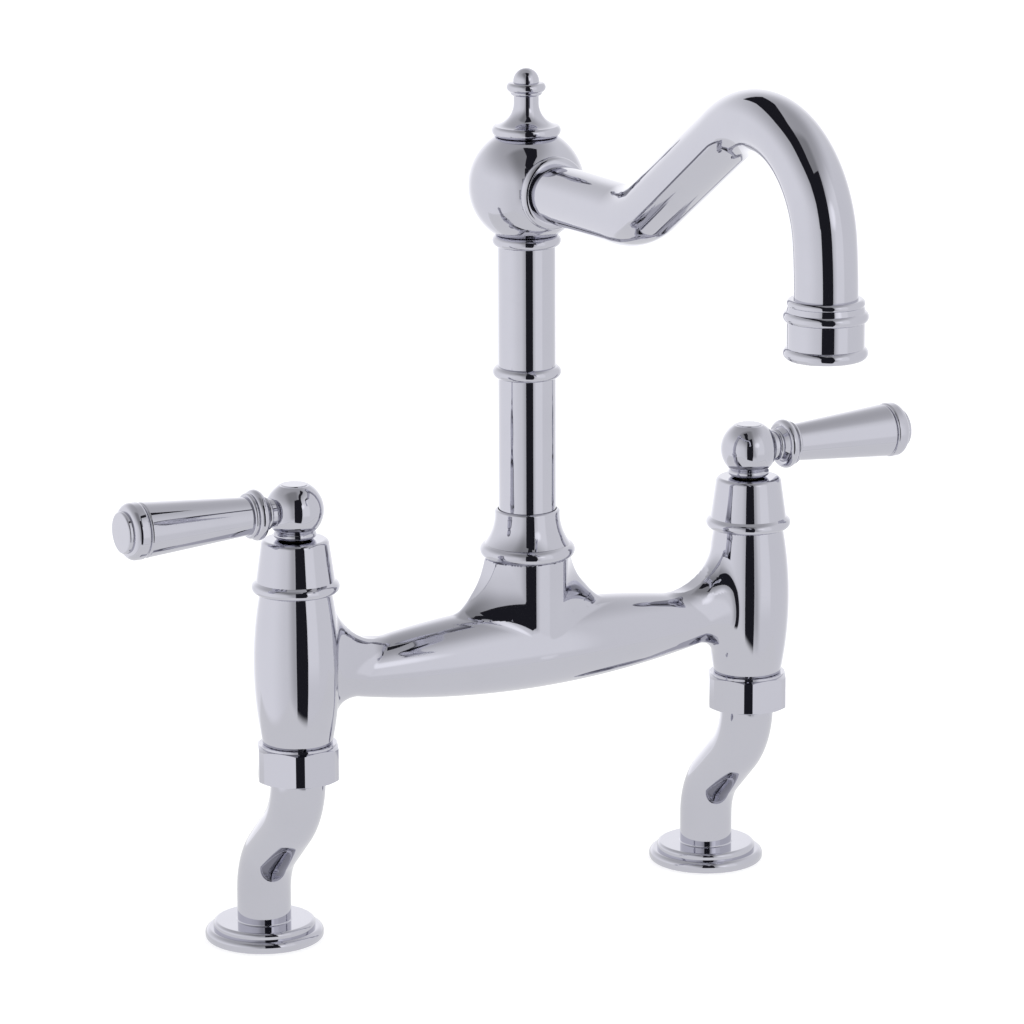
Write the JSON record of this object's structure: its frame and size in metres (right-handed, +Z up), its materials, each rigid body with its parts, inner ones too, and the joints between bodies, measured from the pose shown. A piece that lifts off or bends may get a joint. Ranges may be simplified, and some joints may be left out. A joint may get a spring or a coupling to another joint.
{
  "type": "bridge kitchen faucet",
  "caption": "Deck-mounted chrome bridge kitchen faucet on cranked legs, with lever valves and a ball-and-finial column that carries a swivelling swan-neck spout.",
  "frame": {"origin": "on the deck, midway between the axes of the two feet", "axes": "+X from the left foot to the right foot, -Y the way the spout points at rest, +Z up"},
  "size_m": [0.3434, 0.2758, 0.3489],
  "materials": {
    "chrome": "polished",
    "brass": "machined",
    "rubber": "matt",
    "ceramic": "lapped",
    "fibre": "matt",
    "plastic": "moulded"
  },
  "bodies": {
    "base": {"left_foot": "chrome", "right_foot": "chrome", "left_deck_seal": "rubber", "right_deck_seal": "rubber", "left_leg": "chrome", "right_leg": "chrome", "union_nuts": "chrome", "union_washers": "fibre", "bridge_body": "chrome", "bell_collar": "chrome", "glide_rings": "plastic", "left_bonnet": "chrome", "right_bonnet": "chrome", "left_cartridge": "brass", "right_cartridge": "brass", "left_cartridge_seal": "rubber", "right_cartridge_seal": "rubber", "left_fixed_disc": "ceramic", "right_fixed_disc": "ceramic"},
    "left_lever": {"left_spindle": "brass", "left_spindle_seal": "rubber", "left_moving_disc": "ceramic", "left_lever_hub": "chrome", "left_lever_collar": "chrome", "left_lever_grip": "chrome", "left_lever_end_cap": "chrome", "left_lever_rod": "brass", "left_lever_screw": "brass", "left_screw_cover": "chrome"},
    "right_lever": {"right_spindle": "brass", "right_spindle_seal": "rubber", "right_moving_disc": "ceramic", "right_lever_hub": "chrome", "right_lever_collar": "chrome", "right_lever_grip": "chrome", "right_lever_end_cap": "chrome", "right_lever_rod": "brass", "right_lever_screw": "brass", "right_screw_cover": "chrome"},
    "spout": {"column_spigot": "brass", "column_seals": "rubber", "column_tube": "chrome", "column_mid_ring": "chrome", "column_top_ring": "chrome", "spout_ball": "chrome", "finial": "chrome", "spout_root_ring": "chrome", "spout_arm": "chrome", "nozzle": "chrome", "aerator": "plastic", "aerator_seal": "rubber"}
  },
  "joints": [
    {"name": "spout_swivel", "type": "hinge", "parent": "base", "child": "spout", "pos_m": [0, -0.0304, 0.15], "axis": [0, 0, 1], "continuous": true},
    {"name": "left_lever_turn", "type": "hinge", "parent": "base", "child": "left_lever", "pos_m": [-0.1, -0.0304, 0.176], "axis": [0, 0, 1], "range_deg": [0, 90]},
    {"name": "right_lever_turn", "type": "hinge", "parent": "base", "child": "right_lever", "pos_m": [0.1, -0.0304, 0.176], "axis": [0, 0, 1], "range_deg": [-90, 0]}
  ]
}
